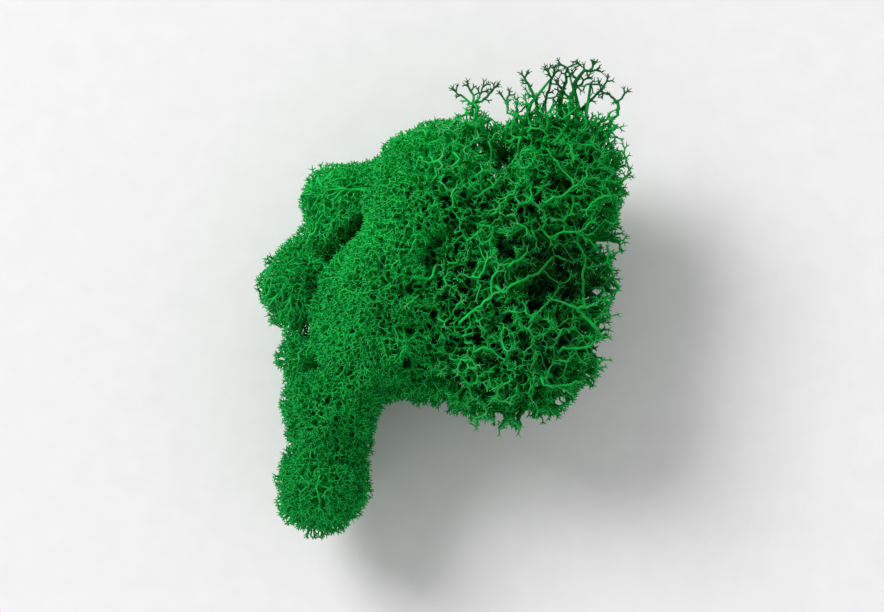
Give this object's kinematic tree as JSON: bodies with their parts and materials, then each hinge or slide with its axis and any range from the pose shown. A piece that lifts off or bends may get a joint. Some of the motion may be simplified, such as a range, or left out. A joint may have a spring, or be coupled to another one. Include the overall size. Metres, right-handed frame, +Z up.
{
  "type": "moss clump",
  "caption": "Rounded clump of green dyed reindeer moss: a domed cushion of finely forked twigs with side lobes and a spray of taller twigs, cut off flat to stand",
  "frame": {"origin": "middle of the clump's footprint box, on the flat cut that it rests on", "axes": "+Z up from the cut, +Y to the back, where the tall twigs are, +X to the right as the picture shows it from above"},
  "size_m": [0.0664, 0.0824, 0.0492],
  "materials": {
    "dyed_moss": "matte, soft and fibrous, dyed a deep even green, darker inside"
  },
  "bodies": {
    "root": {"back_head": "dyed_moss", "middle_head": "dyed_moss", "back_right_head": "dyed_moss", "front_right_head": "dyed_moss", "back_left_lobe": "dyed_moss", "left_lobe": "dyed_moss", "left_tuft": "dyed_moss", "front_left_head": "dyed_moss", "front_left_lobe": "dyed_moss"}
  },
  "joints": []
}
